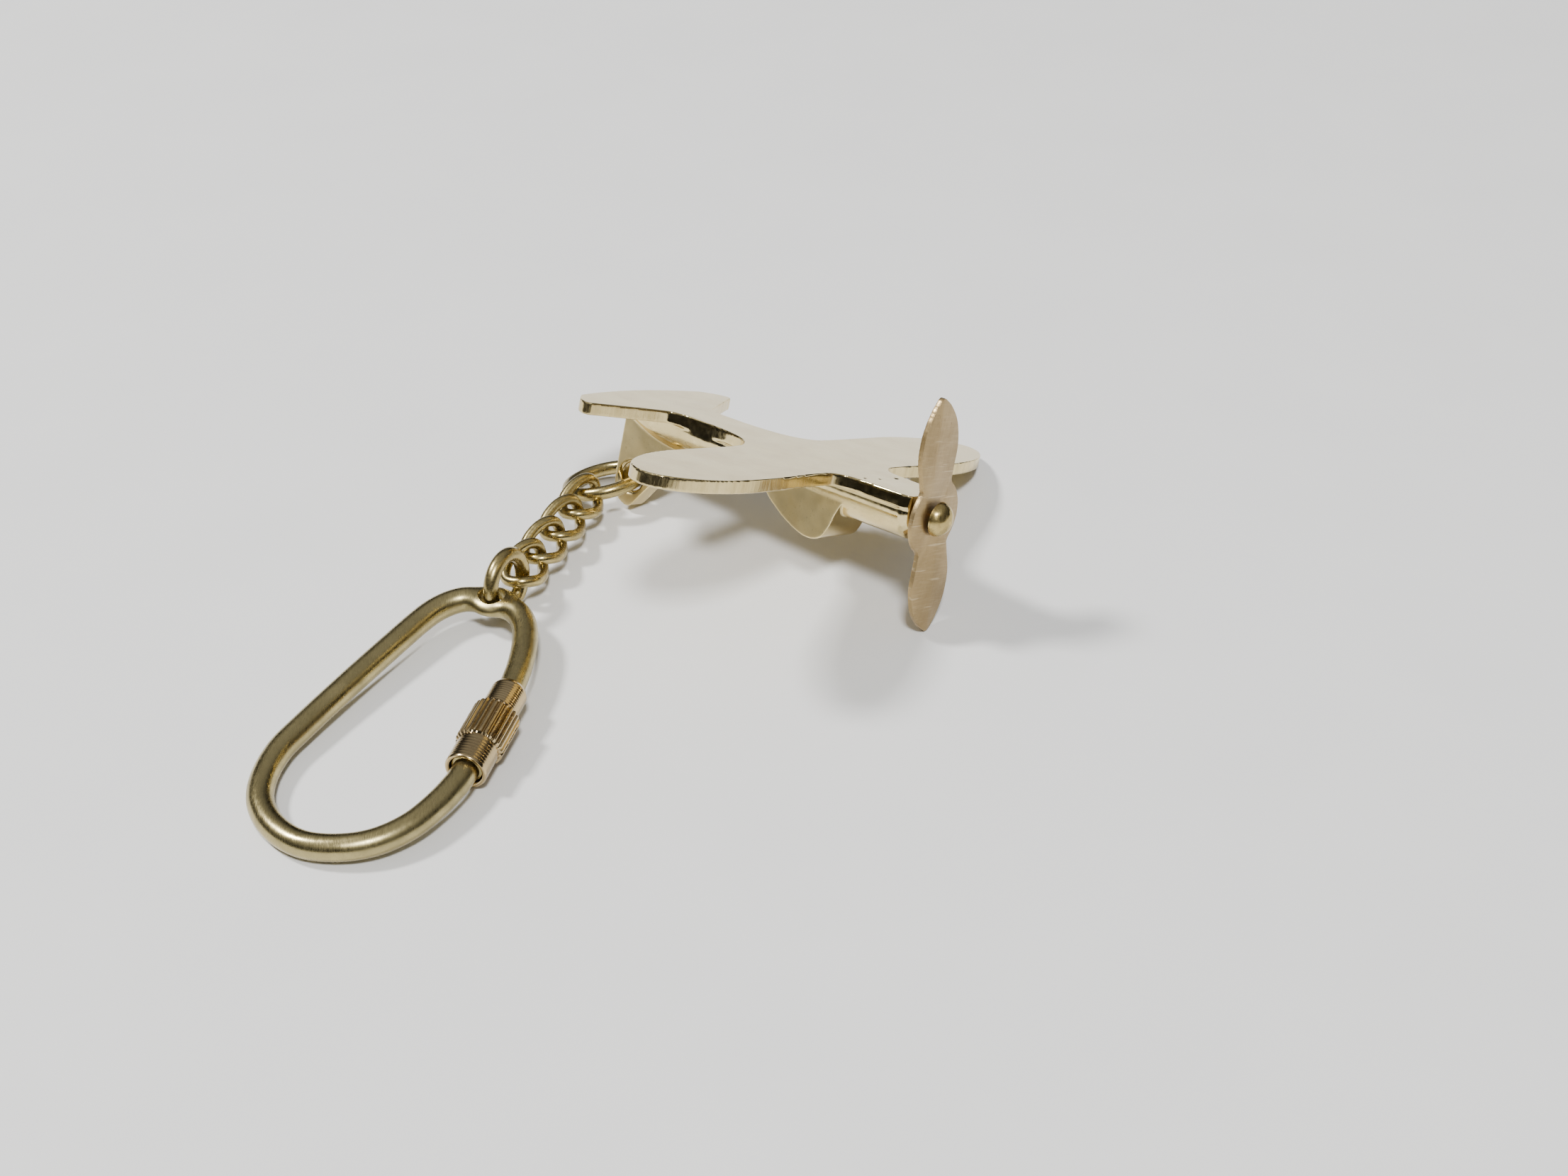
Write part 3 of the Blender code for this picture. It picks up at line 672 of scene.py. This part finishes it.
def build_airframe():
    obj = mesh_object("airframe_casting", belly_plate())
    for shape in (barrel(), canopy(), fin()):
        join(obj, mesh_object("shape", shape), "UNION")
    outer = FIN_HALF_THICKNESS + 0.5
    inner = FIN_HALF_THICKNESS - FIN_HOLE_FLARE_DEPTH
    flare = FIN_HOLE_RADIUS + FIN_HOLE_FLARE
    hole = turned_along_y(*FIN_HOLE, [(-outer, flare), (-inner, FIN_HOLE_RADIUS),
                                      (inner, FIN_HOLE_RADIUS), (outer, flare)])
    join(obj, mesh_object("hole", hole), "DIFFERENCE")
    bore = lathe([(NOSE_X - SHAFT_DEPTH - 0.25, SHAFT_BORE), (NOSE_X + 2.0, SHAFT_BORE)], 40)
    bmesh.ops.translate(bore, vec=Vector((0, 0, THRUST_Z)), verts=bore.verts)
    join(obj, mesh_object("bore", bore), "DIFFERENCE")
    skin = obj.modifiers.new("skin", "REMESH")
    skin.mode = "VOXEL"
    skin.voxel_size = VOXEL * MM
    soften = obj.modifiers.new("soften", "SMOOTH")
    soften.factor = 0.5
    soften.iterations = SMOOTH_STEPS
    apply_modifiers(obj)
    roughen_casting(obj)
    obj.data.transform(AEROPLANE)
    finish_piece(obj, "airframe", "airframe", ["airframe"])


# ---------------------------------------------------------------- propeller and rivet

def blade_edge():
    """A quarter of the outline, as (along the blade, across it) pairs in fine steps."""
    hub = []
    for k in range(11):
        angle = math.radians(4.8 * k)
        hub.append((PROP_HUB_RADIUS * math.sin(angle), PROP_HUB_RADIUS * math.cos(angle)))
    blade = spline([(3.3, 2.35), (4.6, 2.6), (6.8, 3.0), (9.2, 2.6), (11.0, 1.55),
                    (PROP_HALF_LENGTH - 0.25, 0.5), (PROP_HALF_LENGTH, 0.1)], 12)
    return hub + blade


def propeller_outline():
    """Whole outline; one edge of one blade is left ragged by the shears."""
    edge = blade_edge()
    ragged = []
    for along, across in edge:
        if along > 3.3 and across > 0.4:
            chip = noise.noise(Vector((along * 3.1, 0, 0))) * 0.10
            chip += noise.noise(Vector((along * 9.0, 4, 0))) * 0.05
            across -= abs(chip)
        ragged.append((along, across))
    outline = edge + [(a, -c) for a, c in reversed(edge)]
    outline += [(-a, -c) for a, c in edge[1:]] + [(-a, c) for a, c in reversed(ragged[1:])]
    return outline


def build_propeller():
    """Flat sheet with a bore and slightly rounded edges, turned to its resting angle."""
    bm = prism([(c, a) for a, c in propeller_outline()], "X", 0.0, PROP_THICKNESS)
    obj = mesh_object("propeller_sheet", bm)
    bore = lathe([(-2.0, PROP_BORE), (3.0, PROP_BORE)], 48)
    join(obj, mesh_object("bore", bore), "DIFFERENCE")
    round_edges = obj.modifiers.new("round", "BEVEL")
    round_edges.width = 0.05 * MM
    round_edges.segments = 2
    round_edges.limit_method = "ANGLE"
    round_edges.angle_limit = math.radians(60)
    apply_modifiers(obj)
    hub = Matrix.Translation(Vector((PROP_X, 0, THRUST_Z)) * MM)
    obj.data.transform(AEROPLANE @ hub @ Matrix.Rotation(PROP_TURN, 4, "X"))
    finish_piece(obj, "propeller", "propeller", ["propeller"], 30.0)


def build_rivet():
    """Shaft, collar and domed head with a few hammer dents."""
    collar = PROP_X + PROP_THICKNESS + COLLAR_GAP
    head = collar + COLLAR_LENGTH
    brim = HEAD_RADIUS - 0.03
    profile = [(NOSE_X - SHAFT_DEPTH, SHAFT_RADIUS), (collar, SHAFT_RADIUS),
               (collar, COLLAR_RADIUS - 0.06), (collar + 0.05, COLLAR_RADIUS),
               (head, COLLAR_RADIUS), (head, brim - 0.1), (head + 0.06, brim - 0.02)]
    for k in range(22):
        angle = math.radians(4.0 * k + 3.0)
        profile.append((head + HEAD_HEIGHT * math.sin(angle), brim * math.cos(angle)))
    profile.append((head + HEAD_HEIGHT, 0.0))
    bm = lathe(profile, 72)
    for vertex in bm.verts:
        if vertex.co.x > head + 0.1:
            dent = noise.noise(vertex.co * 0.9) * 0.05 + noise.noise(vertex.co * 2.6) * 0.012
            vertex.co.y *= 1.0 - abs(dent) * 0.5
            vertex.co.z *= 1.0 - abs(dent) * 0.5
            vertex.co.x -= abs(dent)
    bmesh.ops.translate(bm, vec=Vector((0, 0, THRUST_Z)), verts=bm.verts)
    obj = mesh_object("rivet", bm)
    obj.data.transform(AEROPLANE)
    finish_piece(obj, "rivet", "airframe", ["propeller_rivet"], 35.0)


# ---------------------------------------------------------------- rings and chain

def node_points(node):
    """Vertices of a CAD solid, in millimetres."""
    mesh = frame["nodes"][node].data
    return np.array([vertex.co for vertex in mesh.vertices]) / MM


def ring_measures(node, wire_radius):
    """Centre, axis and centre-line radius of a round ring, measured on its CAD solid."""
    points = node_points(node)
    centre = (points.min(0) + points.max(0)) / 2
    axis = np.linalg.svd(points - points.mean(0))[2][2]
    away = points - centre
    away -= np.outer(away @ axis, axis)
    radius = np.linalg.norm(away, axis=1).max() - wire_radius
    return Vector(centre), Vector(axis), float(radius)


def build_round_ring(node, wire_radius, steps=120):
    centre, axis, radius = ring_measures(node, wire_radius)
    first = axis.orthogonal().normalized()
    second = axis.cross(first)
    points = []
    for k in range(steps):
        t = math.tau * k / steps
        points.append(centre + radius * (math.cos(t) * first + math.sin(t) * second))
    bm = wire(points, [wire_radius] * steps, [axis] * steps, 28, True)
    obj = mesh_object(node + "_wire", bm)
    finish_piece(obj, "wire", node, [node])


def link_centres():
    """Middles of the links, between the first and last ones' CAD solids."""
    ends = [Vector(node_points(f"chain_link_{n}").mean(0)) for n in (1, LINK_COUNT)]
    return [ends[0].lerp(ends[1], k / (LINK_COUNT - 1)) for k in range(LINK_COUNT)]


def build_links(steps=96):
    """Oval wire loops, each twisted end to end so that the chain lies flat."""
    centres = link_centres()
    along = (centres[-1] - centres[0]).normalized()
    side = Vector((0, 0, 1)).cross(along).normalized()
    across = Matrix.Rotation(LINK_ROLL, 3, along) @ side
    facing = along.cross(across)
    for index, centre in enumerate(centres):
        points = []
        for k in range(steps):
            c, s = math.cos(math.tau * k / steps), math.sin(math.tau * k / steps)
            x = LINK_HALF_LENGTH * math.copysign(abs(c) ** LINK_SQUARENESS, c)
            y = LINK_HALF_WIDTH * math.copysign(abs(s) ** LINK_SQUARENESS, s)
            turn = LINK_TWIST / 2 * x / LINK_HALF_LENGTH
            points.append(centre + x * along + y * math.cos(turn) * across
                          + y * math.sin(turn) * facing)
        directions = []
        for k, point in enumerate(points):
            tangent = (points[(k + 1) % steps] - points[k - 1]).normalized()
            directions.append(tangent.cross(centre - point).normalized())
        node = f"chain_link_{index + 1}"
        bm = wire(points, [LINK_WIRE] * steps, directions, 24, True)
        obj = mesh_object(node + "_wire", bm)
        finish_piece(obj, "wire", node, [node])


# ---------------------------------------------------------------- key ring and sleeve

SLEEVE_TURN = JOINTS["sleeve_turn"]
SLEEVE_TOP = Vector(SLEEVE_TURN["pos_m"]) / MM
SLEEVE_ALONG = Vector(SLEEVE_TURN["axis"]).normalized()
EYE = Vector(JOINTS["key_ring_turn"]["pos_m"]) / MM
RING_UP = Vector(JOINTS["key_ring_turn"]["axis"]).normalized()


def on_ring(x, y):
    """Point of the ring's plane above (x, y), measured from the eye."""
    z = -(RING_UP.x * x + RING_UP.y * y) / RING_UP.z
    return EYE + Vector((x, y, z))


def ring_path():
    """Centre line of the loop, from the leg above the sleeve round to the leg below it."""
    eye_x, eye_y = -42.03, 0.4
    loop = [(-38.5, -10.0), (-38.3, -7.2), (-38.4, -4.5), (-39.0, -2.3), (-40.3, -0.6),
            (eye_x, eye_y), (-43.9, 0.9), (-45.5, 0.8), (-47.2, -0.2), (-48.7, -1.9),
            (-51.0, -5.5), (-53.4, -9.4), (-55.7, -13.25), (-57.8, -16.9), (-59.35, -19.9),
            (-60.1, -23.4), (-59.75, -26.7), (-58.0, -29.7), (-55.3, -31.8), (-52.05, -32.45),
            (-48.85, -31.95), (-46.0, -30.15), (-43.9, -27.5), (-42.5, -25.0)]
    return [on_ring(x - eye_x, y - eye_y) for x, y in spline(loop, 8)]


def thread():
    """Fine thread along the lower leg, as (reach, radius) pairs."""
    start, end = THREAD_REACH
    cuts = (0.0, 0.5, 1.0, 0.5)
    steps = int((start - end) / THREAD_PITCH * len(cuts))
    pairs = []
    for k in range(steps + 1):
        reach = start - (start - end) * k / steps
        pairs.append((reach, THREAD_RADIUS - THREAD_DEPTH * cuts[k % len(cuts)]))
    return pairs


def eye_section(point):
    """(Across, out) radii of the wire, which is pressed wide and flat around the eye."""
    gap = (point - EYE).length
    spread = math.exp(-(gap / 1.75) ** 2.6)
    flat = math.exp(-(gap / 2.1) ** 4)
    wide = EYE_RADIUS - 0.05
    return (RING_WIRE + (wide - RING_WIRE) * spread,
            RING_WIRE - (RING_WIRE - EYE_THICKNESS / 2) * flat)


def build_key_ring():
    """Wire loop with a flange on one leg, a thread on the other, and a flattened eye."""
    far, near = FLANGE_REACH
    chamfer = FLANGE_RADIUS - 0.05
    upper_leg = [(far, chamfer), (far - 0.05, FLANGE_RADIUS), (near + 0.05, FLANGE_RADIUS),
                 (near, chamfer), (near - 0.03, RING_WIRE), (0.6, RING_WIRE)]
    lower_leg = [(0.1, RING_WIRE), (-0.35, RING_WIRE)] + thread()
    loop = ring_path()
    points = [SLEEVE_TOP + SLEEVE_ALONG * reach for reach, _ in upper_leg] + loop
    points += [SLEEVE_TOP + SLEEVE_ALONG * (SLEEVE_LENGTH + reach) for reach, _ in lower_leg]
    radii = [radius for _, radius in upper_leg] + [eye_section(point) for point in loop]
    radii += [radius for _, radius in lower_leg]
    bm = wire(points, radii, [RING_UP] * len(points), 40, False)
    obj = mesh_object("key_ring_wire", bm)
    half = EYE_THICKNESS / 2
    hole = lathe([(-half - 0.6, EYE_HOLE + 0.75), (-half + 0.1, EYE_HOLE + 0.05),
                  (-half + 0.3, EYE_HOLE), (half - 0.3, EYE_HOLE), (half - 0.1, EYE_HOLE + 0.05),
                  (half + 0.6, EYE_HOLE + 0.75)], 64)
    tilt = Vector((1, 0, 0)).rotation_difference(RING_UP).to_matrix()
    bmesh.ops.rotate(hole, matrix=tilt, verts=hole.verts)
    bmesh.ops.translate(hole, vec=EYE, verts=hole.verts)
    join(obj, mesh_object("hole", hole), "DIFFERENCE")
    finish_piece(obj, "ring", "key_ring", ["key_ring"], 32.0)


def circle(x, radii):
    """Ring of points about +X with its own radius at each."""
    count = len(radii)
    points = []
    for k, radius in enumerate(radii):
        angle = math.tau * k / count
        points.append(Vector((x, radius * math.cos(angle), radius * math.sin(angle))))
    return points


def build_lock_sleeve():
    """Turned sleeve with fine turning rings, a knurled band and a stepped bore."""
    per_tooth = 8
    count = KNURL_TEETH * per_tooth
    shape = (0.0, 0.0, 0.02, 0.13, KNURL_DEPTH, KNURL_DEPTH, 0.13, 0.02)

    def plain(x, radius):
        return circle(x, [radius] * count)

    def teeth(x, radius, depth=1.0):
        return circle(x, [radius - depth * shape[k % per_tooth] for k in range(count)])

    top, middle, mouth = SLEEVE_RADIUS_TOP, SLEEVE_RADIUS_KNURL, SLEEVE_RADIUS_MOUTH
    rings = [plain(0.02, top - 0.32), plain(0.12, top - 0.24), plain(0.5, top - 0.04),
             plain(0.62, top - 0.01)]
    for k in range(9):
        x = 0.8 + 0.28 * k
        rings += [plain(x, top - 0.005), plain(x + 0.1, top - 0.03), plain(x + 0.2, top - 0.005)]
    rings += [plain(KNURL_START - 0.12, top), plain(KNURL_START, top + 0.05),
              plain(KNURL_START + 0.05, middle - 0.3), teeth(KNURL_START + 0.16, middle - 0.06, 0.8)]
    for k in range(10):
        x = KNURL_START + 0.3 + (KNURL_END - KNURL_START - 0.6) * k / 9
        rings.append(teeth(x, middle - 0.008 * (k % 3)))
    rings += [teeth(KNURL_END - 0.14, middle - 0.05, 0.8), plain(KNURL_END, middle - 0.32),
              plain(KNURL_END + 0.04, mouth - 0.02), plain(KNURL_END + 0.3, mouth - 0.01)]
    for k in range(7):
        x = KNURL_END + 0.45 + 0.34 * k
        rings += [plain(x, mouth - 0.005), plain(x + 0.12, mouth - 0.03),
                  plain(x + 0.24, mouth - 0.005)]
    end = SLEEVE_LENGTH
    rings += [plain(end - 0.14, mouth - 0.01), plain(end - 0.03, mouth - 0.08),
              plain(end - 0.01, mouth - 0.16), plain(end - 0.02, SLEEVE_BORE + 0.1),
              plain(end - 0.1, SLEEVE_BORE + 0.01)]
    rings += [plain(end - 1.2, SLEEVE_BORE), plain(SLEEVE_SHOULDER, SLEEVE_BORE),
              plain(SLEEVE_SHOULDER, SLEEVE_BORE_TOP), plain(0.1, SLEEVE_BORE_TOP),
              plain(0.02, SLEEVE_BORE_TOP + 0.03)]
    bm = bridge_sections(rings, closed=True)
    turn = Vector((1, 0, 0)).rotation_difference(SLEEVE_ALONG).to_matrix()
    bmesh.ops.rotate(bm, matrix=turn, verts=bm.verts)
    bmesh.ops.translate(bm, vec=SLEEVE_TOP, verts=bm.verts)
    obj = mesh_object("lock_sleeve_turned", bm)
    finish_piece(obj, "sleeve", "lock_sleeve", ["lock_sleeve"], 40.0)


# ---------------------------------------------------------------- scene

add_camera()
add_world()
add_softbox("lamp_left", *LEFT_LAMP)
add_softbox("lamp_front", *FRONT_LAMP)
add_floor()
build_airframe()
build_propeller()
build_rivet()
build_round_ring("jump_ring", JUMP_WIRE)
build_links()
build_round_ring("shackle_ring", SHACKLE_WIRE)
build_key_ring()
build_lock_sleeve()
